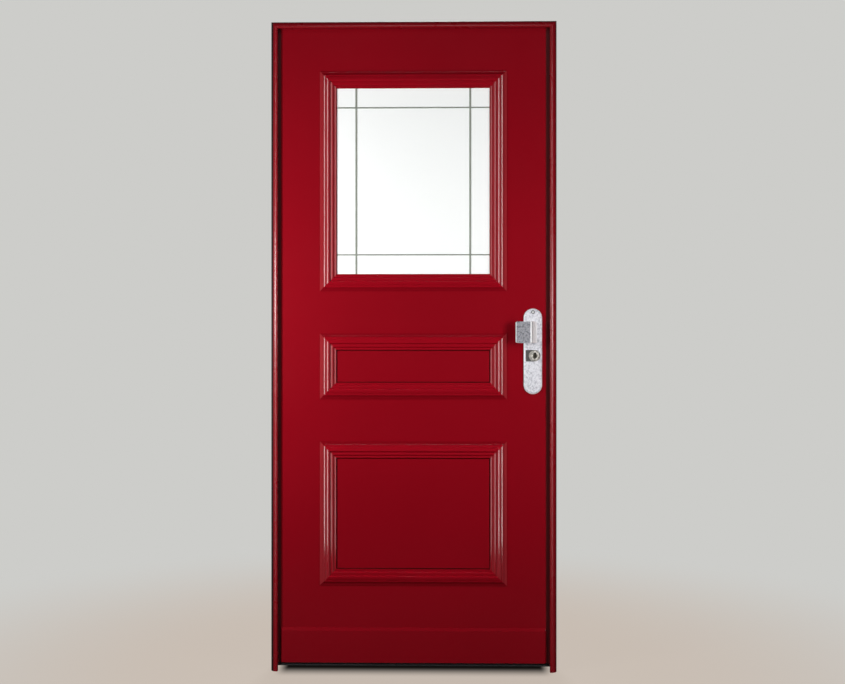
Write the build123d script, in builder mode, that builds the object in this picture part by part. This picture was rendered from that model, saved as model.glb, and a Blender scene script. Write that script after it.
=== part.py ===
from build123d import *
import os

os.makedirs("parts", exist_ok=True)

# Steel security door set with a glazed leaf, in millimetres.
# X runs from the wall side of the hinge jamb to the lock side, -Y is outside, +Y is inside, Z is up.
# The origin is on the hinge jamb's wall face, at the foot of the jamb and half way through its depth.

# Frame
overall_width = 945.0
overall_height = 2150.0
frame_depth = 80.0
face_width = 22.5
stop_depth = 17.0
rebate_width = 9.5
frame_wall = 2.0
nosing_radius = 19.0
face_edge_radius = 3.0
stop_edge_radius = 1.5
fixing_hole = 10.0
fixing_inset = 260.0
lock_fixing_offset = 275.0
threshold_top = 20.0
threshold_thickness = 4.0
threshold_edge = 1.5

# Running gaps round the leaf
side_gap = 5.5
top_gap = 5.5
bottom_gap = 5.0
face_gap = 5.5

# Seals
seal_width = 8.0
seal_inset = 1.5
seal_clearance = 0.3

# Leaf
leaf_thickness = 55.0
lock_edge_bevel = 3.0
sheet = 2.0
stile_width = 46.0
rail_height = 50.0
stile_wall = 2.0

# Panel layout on the outer face, counted downwards from the head
panel_margin = 146.0
panel_spacing = 140.0
window_height = 730.0
middle_panel_height = 218.0

# Panel mouldings
moulding_width = 57.0
moulding_height = 14.5

# Window
glass_overlap = 12.0
pane_thickness = 6.0
spacer_depth = 16.0
spacer_width = 12.0
bar_inset = 64.0
upright_bar_width = 6.0
cross_bar_width = 4.5
bar_bevel = 0.8
bead_reveal = 6.0
bead_lip = 22.0
bead_height = 3.0
bead_edge = 1.2

# Kick plate
kick_plate_margin = 16.0
kick_plate_height = 115.5
kick_plate_lift = 1.0
kick_plate_thickness = 6.0
kick_plate_bevel = 10.0
kick_plate_end_bevel = 4.5
kick_plate_edge = 1.5

# Lock plate and cylinder guard
lock_plate_width = 60.5
lock_plate_length = 283.0
lock_plate_thickness = 9.0
lock_plate_bevel = 5.0
lock_plate_bevel_depth = 3.5
lock_plate_backset = 60.0
cylinder_height = 1043.5
lock_plate_rise = 14.5
pocket_height = 38.0
pocket_depth = 7.0
pocket_border = 6.0
pocket_corner = 2.0
guard_clearance = 0.6
guard_tip_diameter = 25.0
guard_projection = 7.0
guard_bore_width = 14.5
guard_bore_height = 20.0
plug_recess = 9.0

# Key cylinder
plug_diameter = 13.5
barrel_diameter = 17.0
barrel_lobe_width = 10.0
barrel_height = 33.0
cylinder_clearance = 0.3
barrel_projection = 3.0
key_slot_width = 2.6
key_slot_height = 9.0
key_slot_depth = 5.0

# Pull handle
pull_height = 70.0
pull_thickness = 4.0
pull_grip = 50.0
pull_standoff = 34.0
pull_web_run = 19.0
pull_foot_inset = 21.0
pull_bend_radius = 6.0
pull_corner_radius = 5.0
pull_rise = 77.5

# Inside furniture
inner_plate_width = 46.0
inner_plate_length = 250.0
inner_plate_thickness = 6.0
inner_plate_bevel = 2.0
lever_rise = 85.0
lever_rose_diameter = 30.0
lever_rose_height = 4.0
lever_neck_diameter = 18.0
lever_neck_length = 42.0
lever_length = 125.0
lever_section_height = 20.0
lever_section_depth = 11.0
lever_edge_bevel = 2.5

# Edge furniture
bolt_rise = 16.5
faceplate_length = 320.0
faceplate_width = 24.0
faceplate_thickness = 3.0
faceplate_clearance = 0.2
bolt_diameter = 18.0
bolt_length = 38.0
bolt_pitch = 50.0
bolt_count = 3
bolt_clearance = 0.3
latch_drop = 112.0
latch_width = 14.0
latch_height = 24.0
keep_clearance = 2.0
keep_margin = 2.0
dog_bolt_diameter = 12.0
dog_bolt_offset = 520.0
dog_bolt_entry = 1.5
dog_bolt_clearance = 4.0

# Hinges
hinge_inset = 220.0
knuckle_diameter = 18.0
knuckle_length = 60.0
knuckle_gap = 0.5
knuckle_standoff = 1.5
pin_diameter = 10.0
pin_reach = 45.0
pin_clearance = 0.1
pin_end_gap = 2.0
hinge_wing_length = 45.0
hinge_wing_thickness = 4.0

# Planes and lines that the pieces share
frame_front = -frame_depth / 2
frame_back = frame_depth / 2
stop_back = frame_front + stop_depth
opening_top = overall_height - face_width
far_rebate = overall_width - rebate_width
leaf_front = stop_back + face_gap
leaf_back = leaf_front + leaf_thickness
leaf_left = rebate_width + side_gap
leaf_right = far_rebate - side_gap
leaf_right_front = leaf_right - lock_edge_bevel
leaf_bottom = threshold_top + bottom_gap
leaf_top = overall_height - rebate_width - top_gap
leaf_centre = (leaf_left + leaf_right_front) / 2
leaf_middle_depth = (leaf_front + leaf_back) / 2
core_front = leaf_front + sheet
core_back = leaf_back - sheet
outer_face = Plane.XZ.offset(-leaf_front)
core_face = Plane.XZ.offset(-core_front)
inner_face = Plane.XZ.offset(-leaf_back)
lock_edge = Plane(
    origin=(leaf_right_front, leaf_front, 0),
    x_dir=(leaf_right - leaf_right_front, leaf_thickness, 0),
    z_dir=(leaf_thickness, leaf_right_front - leaf_right, 0),
)

# Edges of the three mouldings
panel_left = leaf_left + panel_margin
panel_right = leaf_right_front - panel_margin
window_top = opening_top - panel_spacing
window_bottom = window_top - window_height
middle_top = window_bottom - panel_spacing
middle_bottom = middle_top - middle_panel_height
lower_top = middle_bottom - panel_spacing
kick_plate_bottom = leaf_bottom + kick_plate_lift
kick_plate_top = kick_plate_bottom + kick_plate_height
lower_bottom = kick_plate_top + panel_spacing

# Window opening inside the moulding
sight_width = panel_right - panel_left - 2 * moulding_width
sight_height = window_height - 2 * moulding_width
window_centre = (window_top + window_bottom) / 2
glass_width = sight_width + 2 * glass_overlap
glass_height = sight_height + 2 * glass_overlap
outer_pane_back = core_front + pane_thickness
spacer_back = outer_pane_back + spacer_depth
glass_back = spacer_back + pane_thickness

# Lock plate and hinge axis
lock_plate_centre = leaf_right_front - lock_plate_backset
lock_plate_height = cylinder_height + lock_plate_rise
lock_centre_height = cylinder_height + bolt_rise
lock_plate_front = leaf_front - lock_plate_thickness
pocket_floor = lock_plate_front + pocket_depth
hinge_x = (rebate_width + leaf_left) / 2
hinge_y = frame_back + knuckle_standoff + knuckle_diameter / 2
leaf_middle_height = (leaf_bottom + leaf_top) / 2
hinge_heights = (leaf_bottom + hinge_inset, leaf_middle_height, leaf_top - hinge_inset)
dog_bolt_heights = (leaf_middle_height - dog_bolt_offset, leaf_middle_height + dog_bolt_offset)
fixing_heights = (
    fixing_inset,
    lock_centre_height - lock_fixing_offset,
    lock_centre_height + lock_fixing_offset,
    overall_height - fixing_inset,
)
cylinder_x = lock_plate_centre + lock_plate_width / 2 - pocket_border - pocket_height / 2
pocket_left = lock_plate_centre - lock_plate_width / 2 + pocket_border
guard_radius = pocket_height / 2 - guard_clearance
guard_tip = lock_plate_front - guard_projection
plug_front = guard_tip + plug_recess
inner_plate_back = leaf_back + inner_plate_thickness
barrel_end = inner_plate_back + barrel_projection
lever_height = cylinder_height + lever_rise
pull_front = lock_plate_front - pull_standoff
pull_bottom = cylinder_height + pull_rise - pull_height / 2
pull_foot = lock_plate_centre - lock_plate_width / 2 + pull_foot_inset + pull_web_run
pull_bend = pull_foot - pull_web_run

# Seals and keep
seal_depth = face_gap - seal_clearance
seal_left = face_width - seal_inset - seal_width
seal_top = overall_height - seal_left
keep_plate_width = faceplate_width + 2 * keep_margin
wall_cut = 1.5 * frame_wall

# 45 degree planes of the frame's two mitres
left_mitre = Plane(origin=(0, 0, overall_height), z_dir=(1, 0, 1))
right_mitre = Plane(origin=(overall_width, 0, overall_height), z_dir=(-1, 0, 1))


def lock_edge_at(depth):
    """X of the bevelled lock edge at a depth through the leaf."""
    return leaf_right_front + lock_edge_bevel * (depth - leaf_front) / leaf_thickness


def frame_section():
    """Closed section of the frame: X from the wall face to the doorway, Y from outside to inside."""
    with BuildSketch() as section:
        with BuildLine():
            Polyline(
                (0, frame_front),
                (face_width, frame_front),
                (face_width, stop_back),
                (rebate_width, stop_back),
                (rebate_width, frame_back),
                (0, frame_back),
                close=True,
            )
        make_face()
        fillet(section.vertices().group_by(Axis.Y)[0].sort_by(Axis.X)[0], radius=nosing_radius)
        fillet(section.vertices().group_by(Axis.X)[-1].sort_by(Axis.Y)[0], radius=face_edge_radius)
        fillet(section.vertices().group_by(Axis.X)[-1].sort_by(Axis.Y)[-1], radius=stop_edge_radius)
        offset(amount=-frame_wall, mode=Mode.SUBTRACT)
    return section.sketch


# Hinge jamb: full height, mitred to the head, with wall fixings and entries for the dog bolts
with BuildPart() as hinge_jamb:
    with BuildSketch(Plane.XY):
        add(frame_section())
    extrude(amount=overall_height)
    split(bisect_by=left_mitre, keep=Keep.BOTTOM)
    with BuildSketch(Plane.YZ):
        with Locations([(leaf_middle_depth, height) for height in fixing_heights]):
            Circle(fixing_hole / 2)
    extrude(amount=rebate_width, mode=Mode.SUBTRACT)
    with BuildSketch(Plane.YZ.offset(rebate_width)):
        with Locations([(leaf_middle_depth, height) for height in dog_bolt_heights]):
            Circle(dog_bolt_diameter / 2 + dog_bolt_clearance)
    extrude(amount=-wall_cut, mode=Mode.SUBTRACT)
hinge_jamb.part.label = "hinge_jamb"
export_step(hinge_jamb.part, "parts/hinge_jamb.step")

# Lock jamb: the same section turned round, with a window for the keep plate
with BuildPart() as lock_jamb:
    with BuildSketch(Plane(origin=(overall_width, 0, 0), x_dir=(-1, 0, 0), z_dir=(0, 0, -1))):
        add(frame_section())
    extrude(amount=-overall_height)
    split(bisect_by=right_mitre, keep=Keep.BOTTOM)
    with BuildSketch(Plane.YZ.offset(far_rebate)):
        with Locations([(leaf_middle_depth, height) for height in fixing_heights]):
            Circle(fixing_hole / 2)
    extrude(amount=rebate_width, mode=Mode.SUBTRACT)
    with BuildSketch(Plane.YZ.offset(far_rebate)):
        with Locations((leaf_middle_depth, lock_centre_height)):
            Rectangle(keep_plate_width, faceplate_length)
    extrude(amount=wall_cut, mode=Mode.SUBTRACT)
lock_jamb.part.label = "lock_jamb"
export_step(lock_jamb.part, "parts/lock_jamb.step")

# Head of the frame, mitred at both ends
with BuildPart() as head:
    with BuildSketch(Plane(origin=(0, 0, overall_height), x_dir=(0, 0, -1), z_dir=(1, 0, 0))):
        add(frame_section())
    extrude(amount=overall_width)
    split(bisect_by=left_mitre, keep=Keep.TOP)
    split(bisect_by=right_mitre, keep=Keep.TOP)
head.part.label = "head"
export_step(head.part, "parts/head.step")

# Threshold: an angle between the jambs, its leg down to the floor along the inside
with BuildPart() as threshold:
    with BuildSketch(Plane.YZ.offset(rebate_width)) as threshold_section:
        with BuildLine():
            Polyline(
                (stop_back, threshold_top),
                (frame_back, threshold_top),
                (frame_back, 0),
                (frame_back - threshold_thickness, 0),
                (frame_back - threshold_thickness, threshold_top - threshold_thickness),
                (stop_back, threshold_top - threshold_thickness),
                close=True,
            )
        make_face()
        chamfer(threshold_section.vertices().group_by(Axis.Y)[-1], length=threshold_edge)
    extrude(amount=far_rebate - rebate_width)
threshold.part.label = "threshold"
export_step(threshold.part, "parts/threshold.step")

# Seals between the stop and the leaf: two down the jambs
with BuildPart() as side_seals:
    with BuildSketch(Plane.XY.offset(threshold_top)):
        with Locations((seal_left + seal_width / 2, stop_back + seal_depth / 2)):
            Rectangle(seal_width, seal_depth)
    extrude(amount=seal_top - threshold_top)
    mirror(about=Plane.YZ.offset(overall_width / 2))
side_seals.part.label = "side_seals"
export_step(side_seals.part, "parts/side_seals.step")

# and one across the head, between the other two
with BuildPart() as head_seal:
    with BuildSketch(Plane.YZ.offset(seal_left + seal_width)):
        with Locations((stop_back + seal_depth / 2, seal_top - seal_width / 2)):
            Rectangle(seal_depth, seal_width)
    extrude(amount=overall_width - 2 * (seal_left + seal_width))
head_seal.part.label = "head_seal"
export_step(head_seal.part, "parts/head_seal.step")

# Keep plate, flush in the lock jamb, with the holes that the bolts and the latch enter
with BuildPart() as keep_plate:
    with BuildSketch(Plane.YZ.offset(far_rebate)):
        with Locations((leaf_middle_depth, lock_centre_height)):
            Rectangle(keep_plate_width - 2 * faceplate_clearance, faceplate_length - 2 * faceplate_clearance)
            with GridLocations(bolt_pitch, bolt_pitch, 1, bolt_count):
                Circle(bolt_diameter / 2 + keep_clearance, mode=Mode.SUBTRACT)
        with Locations((leaf_middle_depth, lock_centre_height - latch_drop)):
            Rectangle(latch_width + keep_clearance, latch_height + keep_clearance, mode=Mode.SUBTRACT)
    extrude(amount=frame_wall)
keep_plate.part.label = "keep_plate"
export_step(keep_plate.part, "parts/keep_plate.step")

# Frame halves of the lift-off hinges: lower knuckle, upright pin and a web to the jamb's inside face
with BuildPart() as frame_hinge_halves:
    for height in hinge_heights:
        with BuildSketch(Plane.XY.offset(height - knuckle_length)):
            with BuildLine():
                Polyline(
                    (0, frame_back),
                    (rebate_width, frame_back),
                    (hinge_x, hinge_y),
                    (hinge_x - knuckle_diameter / 2, hinge_y),
                    close=True,
                )
            make_face()
            with Locations((hinge_x, hinge_y)):
                Circle(knuckle_diameter / 2)
        extrude(amount=knuckle_length - knuckle_gap / 2)
        with BuildSketch(Plane.XY.offset(height - knuckle_gap / 2)):
            with Locations((hinge_x, hinge_y)):
                Circle(pin_diameter / 2)
        extrude(amount=pin_reach)
frame_hinge_halves.part.label = "frame_hinge_halves"
export_step(frame_hinge_halves.part, "parts/frame_hinge_halves.step")

# Leaf halves: upper knuckle with a blind bore, and a wing along the leaf's inside face
with BuildPart() as leaf_hinge_halves:
    for height in hinge_heights:
        with BuildSketch(Plane.XY.offset(height + knuckle_gap / 2)):
            with BuildLine():
                Polyline(
                    (leaf_left, leaf_back),
                    (leaf_left + hinge_wing_length, leaf_back),
                    (leaf_left + hinge_wing_length, leaf_back + hinge_wing_thickness),
                    (hinge_x + knuckle_diameter / 2, leaf_back + hinge_wing_thickness),
                    (hinge_x + knuckle_diameter / 2, hinge_y),
                    (hinge_x, hinge_y),
                    close=True,
                )
            make_face()
            with Locations((hinge_x, hinge_y)):
                Circle(knuckle_diameter / 2)
        extrude(amount=knuckle_length - knuckle_gap / 2)
        with BuildSketch(Plane.XY.offset(height + knuckle_gap / 2)):
            with Locations((hinge_x, hinge_y)):
                Circle(pin_diameter / 2 + pin_clearance)
        extrude(amount=pin_reach + pin_end_gap, mode=Mode.SUBTRACT)
leaf_hinge_halves.part.label = "leaf_hinge_halves"
export_step(leaf_hinge_halves.part, "parts/leaf_hinge_halves.step")

# Hinge stile of the leaf, a square tube
with BuildPart() as hinge_stile:
    with BuildSketch(Plane.XY.offset(leaf_bottom)):
        with Locations((leaf_left + stile_width / 2, leaf_middle_depth)):
            Rectangle(stile_width, core_back - core_front)
        offset(amount=-stile_wall, mode=Mode.SUBTRACT)
    extrude(amount=leaf_top - leaf_bottom)
hinge_stile.part.label = "hinge_stile"
export_step(hinge_stile.part, "parts/hinge_stile.step")

# Lock stile, with its edge bevelled to swing past the jamb and a slot for the faceplate
with BuildPart() as lock_stile:
    with BuildSketch(Plane.XY.offset(leaf_bottom)):
        with BuildLine():
            Polyline(
                (leaf_right - stile_width, core_front),
                (lock_edge_at(core_front), core_front),
                (lock_edge_at(core_back), core_back),
                (leaf_right - stile_width, core_back),
                close=True,
            )
        make_face()
        offset(amount=-stile_wall, mode=Mode.SUBTRACT)
    extrude(amount=leaf_top - leaf_bottom)
    with BuildSketch(lock_edge):
        with Locations((leaf_thickness / 2, lock_centre_height)):
            Rectangle(faceplate_width, faceplate_length)
    extrude(amount=-2 * stile_wall, mode=Mode.SUBTRACT)
lock_stile.part.label = "lock_stile"
export_step(lock_stile.part, "parts/lock_stile.step")

# Top and bottom rails between the stiles
for rail_name, rail_bottom in (("bottom_rail", leaf_bottom), ("top_rail", leaf_top - rail_height)):
    with BuildPart() as rail:
        with BuildSketch(Plane.YZ.offset(leaf_left + stile_width)):
            with Locations((leaf_middle_depth, rail_bottom + rail_height / 2)):
                Rectangle(core_back - core_front, rail_height)
            offset(amount=-stile_wall, mode=Mode.SUBTRACT)
        extrude(amount=leaf_right - leaf_left - 2 * stile_width)
    rail.part.label = rail_name
    export_step(rail.part, f"parts/{rail_name}.step")


def barrel_profile(clearance):
    """Outline of the key cylinder's barrel, round above and narrow below, grown by a clearance."""
    lobe_drop = barrel_height - barrel_diameter / 2 - barrel_lobe_width / 2
    with BuildSketch() as profile:
        Circle(barrel_diameter / 2 + clearance)
        with Locations((0, -lobe_drop / 2)):
            Rectangle(barrel_lobe_width + 2 * clearance, lobe_drop)
        with Locations((0, -lobe_drop)):
            Circle(barrel_lobe_width / 2 + clearance)
    return profile.sketch


# Outer sheet of the leaf, with the window and the key cylinder cut through
with BuildPart() as outer_panel:
    with BuildSketch(outer_face):
        with Locations(((leaf_left + leaf_right) / 2, (leaf_bottom + leaf_top) / 2)):
            Rectangle(leaf_right - leaf_left, leaf_top - leaf_bottom)
        with Locations((leaf_centre, window_centre)):
            Rectangle(sight_width, sight_height, mode=Mode.SUBTRACT)
        with Locations((cylinder_x, cylinder_height)):
            add(barrel_profile(cylinder_clearance), mode=Mode.SUBTRACT)
    extrude(amount=-sheet)
    split(bisect_by=lock_edge, keep=Keep.BOTTOM)
outer_panel.part.label = "outer_panel"
export_step(outer_panel.part, "parts/outer_panel.step")

# Inner sheet, its window opening larger by the reveal of the beads
with BuildPart() as inner_panel:
    with BuildSketch(inner_face):
        with Locations(((leaf_left + leaf_right) / 2, (leaf_bottom + leaf_top) / 2)):
            Rectangle(leaf_right - leaf_left, leaf_top - leaf_bottom)
        with Locations((leaf_centre, window_centre)):
            Rectangle(sight_width + 2 * bead_reveal, sight_height + 2 * bead_reveal, mode=Mode.SUBTRACT)
        with Locations((cylinder_x, cylinder_height)):
            add(barrel_profile(cylinder_clearance), mode=Mode.SUBTRACT)
    extrude(amount=sheet)
    split(bisect_by=lock_edge, keep=Keep.BOTTOM)
inner_panel.part.label = "inner_panel"
export_step(inner_panel.part, "parts/inner_panel.step")

# Sealed glass unit: outer pane, spacer and inner pane, clamped behind the outer sheet
with BuildPart() as outer_glass:
    with BuildSketch(core_face):
        with Locations((leaf_centre, window_centre)):
            Rectangle(glass_width, glass_height)
    extrude(amount=-pane_thickness)
outer_glass.part.label = "outer_glass"
export_step(outer_glass.part, "parts/outer_glass.step")

with BuildPart() as glass_spacer:
    with BuildSketch(Plane.XZ.offset(-outer_pane_back)):
        with Locations((leaf_centre, window_centre)):
            Rectangle(glass_width, glass_height)
        offset(amount=-spacer_width, mode=Mode.SUBTRACT)
    extrude(amount=-spacer_depth)
glass_spacer.part.label = "glass_spacer"
export_step(glass_spacer.part, "parts/glass_spacer.step")

with BuildPart() as inner_glass:
    with BuildSketch(Plane.XZ.offset(-spacer_back)):
        with Locations((leaf_centre, window_centre)):
            Rectangle(glass_width, glass_height)
    extrude(amount=-pane_thickness)
inner_glass.part.label = "inner_glass"
export_step(inner_glass.part, "parts/inner_glass.step")

# Glazing bars on the outer pane: two uprights and two cross bars near the edges of the window
with BuildPart() as glazing_bars:
    with BuildSketch(core_face):
        with Locations((leaf_centre, window_centre)):
            with GridLocations(sight_width - 2 * bar_inset, sight_height, 2, 1):
                Rectangle(upright_bar_width, sight_height)
            with GridLocations(sight_width, sight_height - 2 * bar_inset, 1, 2):
                Rectangle(sight_width, cross_bar_width)
    extrude(amount=sheet)
    chamfer(glazing_bars.faces().sort_by(Axis.Y)[0].edges(), length=bar_bevel)
glazing_bars.part.label = "glazing_bars"
export_step(glazing_bars.part, "parts/glazing_bars.step")


def moulding_section():
    """Section of a panel moulding: X inwards from its outer edge, Y its height off the panel.

    A cove, four slanting fillets with a roll and two hollows between them, and a quirk at the inner edge, drawn
    at one size and fitted to the width and height wanted.
    """
    drawn_width = 57.0
    drawn_height = 14.5
    across = moulding_width / drawn_width
    rise = moulding_height / drawn_height
    with BuildSketch() as section:
        with BuildLine():
            Line((0, 0), (0, 2.5 * rise))
            ThreePointArc((0, 2.5 * rise), (7 * across, 3.8 * rise), (12 * across, 6.5 * rise))
            Polyline((12 * across, 6.5 * rise), (12.5 * across, 8.2 * rise), (17.5 * across, 9.5 * rise))
            ThreePointArc((17.5 * across, 9.5 * rise), (19.5 * across, 9 * rise), (21 * across, 12.2 * rise))
            Polyline((21 * across, 12.2 * rise), (28 * across, 14.1 * rise), (30 * across, moulding_height))
            ThreePointArc((30 * across, moulding_height), (33.5 * across, 12.5 * rise), (34.5 * across, 8 * rise))
            Line((34.5 * across, 8 * rise), (42 * across, 9.6 * rise))
            ThreePointArc((42 * across, 9.6 * rise), (45.5 * across, 8 * rise), (47.5 * across, 4 * rise))
            Polyline((47.5 * across, 4 * rise), (53.5 * across, 5.3 * rise), (54.5 * across, 4.5 * rise))
            Polyline((54.5 * across, 4.5 * rise), (54.5 * across, rise), (moulding_width, rise))
            Polyline((moulding_width, rise), (moulding_width, 0), (0, 0))
        make_face()
    return section.sketch


def bead_section():
    """Section of a window bead: a lip over the inner sheet and a leg that holds the glass."""
    with BuildSketch() as section:
        with BuildLine():
            Polyline(
                (0, 0),
                (0, bead_height),
                (bead_lip, bead_height),
                (bead_lip, glass_back - leaf_back),
                (bead_lip - bead_reveal, glass_back - leaf_back),
                (bead_lip - bead_reveal, 0),
                close=True,
            )
        make_face()
        chamfer(section.vertices().group_by(Axis.Y)[-1], length=bead_edge)
    return section.sketch


def mitred_sides(section, face, outward, left, right, bottom, top):
    """Left and right members of a rectangular border on the leaf's face, mitred at 45 degrees."""
    with BuildPart() as sides:
        with BuildSketch(Plane(origin=(left, face, bottom), x_dir=(1, 0, 0), z_dir=(0, 0, outward))):
            add(section)
        extrude(amount=outward * (top - bottom))
        split(bisect_by=Plane(origin=(left, face, bottom), z_dir=(1, 0, -1)), keep=Keep.BOTTOM)
        split(bisect_by=Plane(origin=(left, face, top), z_dir=(1, 0, 1)), keep=Keep.BOTTOM)
        mirror(about=Plane.YZ.offset((left + right) / 2))
    return sides.part


def mitred_rails(section, face, outward, left, right, bottom, top):
    """Top and bottom members of the same border."""
    with BuildPart() as rails:
        with BuildSketch(Plane(origin=(left, face, top), x_dir=(0, 0, -1), z_dir=(outward, 0, 0))):
            add(section)
        extrude(amount=outward * (right - left))
        split(bisect_by=Plane(origin=(left, face, top), z_dir=(1, 0, 1)), keep=Keep.TOP)
        split(bisect_by=Plane(origin=(right, face, top), z_dir=(-1, 0, 1)), keep=Keep.TOP)
        mirror(about=Plane.XY.offset((bottom + top) / 2))
    return rails.part


# Panel mouldings on the outer sheet: round the window and round the two fields below it
for panel_name, panel_bottom, panel_top in (
    ("window", window_bottom, window_top),
    ("middle", middle_bottom, middle_top),
    ("lower", lower_bottom, lower_top),
):
    border = (leaf_front, -1, panel_left, panel_right, panel_bottom, panel_top)
    sides = mitred_sides(moulding_section(), *border)
    sides.label = f"{panel_name}_moulding_sides"
    export_step(sides, f"parts/{panel_name}_moulding_sides.step")
    rails = mitred_rails(moulding_section(), *border)
    rails.label = f"{panel_name}_moulding_rails"
    export_step(rails, f"parts/{panel_name}_moulding_rails.step")

# Beads that hold the glass from the inside
bead_border = (
    leaf_back,
    1,
    leaf_centre - sight_width / 2 - bead_lip,
    leaf_centre + sight_width / 2 + bead_lip,
    window_centre - sight_height / 2 - bead_lip,
    window_centre + sight_height / 2 + bead_lip,
)
window_bead_sides = mitred_sides(bead_section(), *bead_border)
window_bead_sides.label = "window_bead_sides"
export_step(window_bead_sides, "parts/window_bead_sides.step")
window_bead_rails = mitred_rails(bead_section(), *bead_border)
window_bead_rails.label = "window_bead_rails"
export_step(window_bead_rails, "parts/window_bead_rails.step")

# Kick plate with a wide bevel along the top and narrow ones at the ends
with BuildPart() as kick_plate:
    with BuildSketch(outer_face):
        with Locations((leaf_centre, (kick_plate_top + kick_plate_bottom) / 2)):
            Rectangle(leaf_right_front - leaf_left - 2 * kick_plate_margin, kick_plate_height)
    extrude(amount=kick_plate_thickness)
    kick_face = kick_plate.faces().sort_by(Axis.Y)[0]
    chamfer(
        kick_face.edges().filter_by(Axis.Z),
        length=kick_plate_end_bevel,
        length2=kick_plate_thickness - kick_plate_edge,
        reference=kick_face,
    )
    kick_face = kick_plate.faces().sort_by(Axis.Y)[0]
    chamfer(
        kick_face.edges().sort_by(Axis.Z)[-1],
        length=kick_plate_bevel,
        length2=kick_plate_thickness - kick_plate_edge,
        reference=kick_face,
    )
kick_plate.part.label = "kick_plate"
export_step(kick_plate.part, "parts/kick_plate.step")

# Lock plate: long, round at both ends, with a bevelled border and a pocket for the cylinder guard
with BuildPart() as lock_plate:
    with BuildSketch(outer_face):
        with Locations((lock_plate_centre, lock_plate_height)):
            SlotOverall(lock_plate_length, lock_plate_width, rotation=90)
    extrude(amount=lock_plate_thickness)
    plate_face = lock_plate.faces().sort_by(Axis.Y)[0]
    chamfer(
        plate_face.edges(),
        length=lock_plate_bevel,
        length2=lock_plate_bevel_depth,
        reference=plate_face,
    )
    with BuildSketch(Plane.XZ.offset(-lock_plate_front)) as pocket:
        with Locations((cylinder_x, cylinder_height)):
            Circle(pocket_height / 2)
        with Locations(((pocket_left + cylinder_x) / 2, cylinder_height)):
            Rectangle(cylinder_x - pocket_left, pocket_height)
        fillet(pocket.vertices().group_by(Axis.X)[0], radius=pocket_corner)
    extrude(amount=-pocket_depth, mode=Mode.SUBTRACT)
    with BuildSketch(outer_face):
        with Locations((cylinder_x, cylinder_height)):
            Circle(plug_diameter / 2 + cylinder_clearance)
    extrude(amount=lock_plate_thickness, mode=Mode.SUBTRACT)
lock_plate.part.label = "lock_plate"
export_step(lock_plate.part, "parts/lock_plate.step")

# Cylinder guard: a cone turned on the cylinder's axis, with an oval key mouth
with BuildPart() as cylinder_guard:
    with BuildSketch(Plane.XY.offset(cylinder_height)):
        with BuildLine():
            Polyline(
                (cylinder_x, pocket_floor),
                (cylinder_x + guard_radius, pocket_floor),
                (cylinder_x + guard_tip_diameter / 2, guard_tip),
                (cylinder_x, guard_tip),
                close=True,
            )
        make_face()
    revolve(axis=Axis((cylinder_x, 0, cylinder_height), (0, 1, 0)))
    with BuildSketch(Plane.XZ.offset(-guard_tip)):
        with Locations((cylinder_x, cylinder_height)):
            SlotOverall(guard_bore_height, guard_bore_width, rotation=90)
    extrude(amount=guard_tip - pocket_floor, mode=Mode.SUBTRACT)
cylinder_guard.part.label = "cylinder_guard"
export_step(cylinder_guard.part, "parts/cylinder_guard.step")

# Key cylinder: profile barrel through the leaf, and the plug that turns in the guard
with BuildPart() as key_cylinder:
    with BuildSketch(outer_face):
        with Locations((cylinder_x, cylinder_height)):
            add(barrel_profile(0))
    extrude(amount=leaf_front - barrel_end)
    with BuildSketch(outer_face):
        with Locations((cylinder_x, cylinder_height)):
            Circle(plug_diameter / 2)
    extrude(amount=leaf_front - plug_front)
    with BuildSketch(Plane.XZ.offset(-plug_front)):
        with Locations((cylinder_x, cylinder_height)):
            Rectangle(key_slot_width, key_slot_height)
    extrude(amount=-key_slot_depth, mode=Mode.SUBTRACT)
key_cylinder.part.label = "key_cylinder"
export_step(key_cylinder.part, "parts/key_cylinder.step")

# Pull handle: a bent plate, its slanting web welded to the lock plate
with BuildPart() as pull_handle:
    with BuildSketch(Plane.XY.offset(pull_bottom)):
        with BuildLine():
            FilletPolyline(
                (pull_foot, lock_plate_front + pull_thickness),
                (pull_foot, lock_plate_front),
                (pull_bend, pull_front),
                (pull_bend - pull_grip, pull_front),
                radius=pull_bend_radius,
            )
            offset(amount=pull_thickness, side=Side.LEFT)
        make_face()
    extrude(amount=pull_height)
    split(bisect_by=Plane.XZ.offset(-lock_plate_front), keep=Keep.TOP)
    fillet(
        pull_handle.edges().filter_by(Axis.Y).group_by(Axis.X)[0],
        radius=pull_corner_radius,
    )
pull_handle.part.label = "pull_handle"
export_step(pull_handle.part, "parts/pull_handle.step")

# Inside lock plate, with the cylinder's barrel through it
with BuildPart() as inner_lock_plate:
    with BuildSketch(inner_face):
        with Locations((cylinder_x, lock_plate_height)):
            SlotOverall(inner_plate_length, inner_plate_width, rotation=90)
        with Locations((cylinder_x, cylinder_height)):
            add(barrel_profile(cylinder_clearance), mode=Mode.SUBTRACT)
    extrude(amount=-inner_plate_thickness)
    chamfer(inner_lock_plate.faces().sort_by(Axis.Y)[-1].outer_wire().edges(), length=inner_plate_bevel)
inner_lock_plate.part.label = "inner_lock_plate"
export_step(inner_lock_plate.part, "parts/inner_lock_plate.step")

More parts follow.
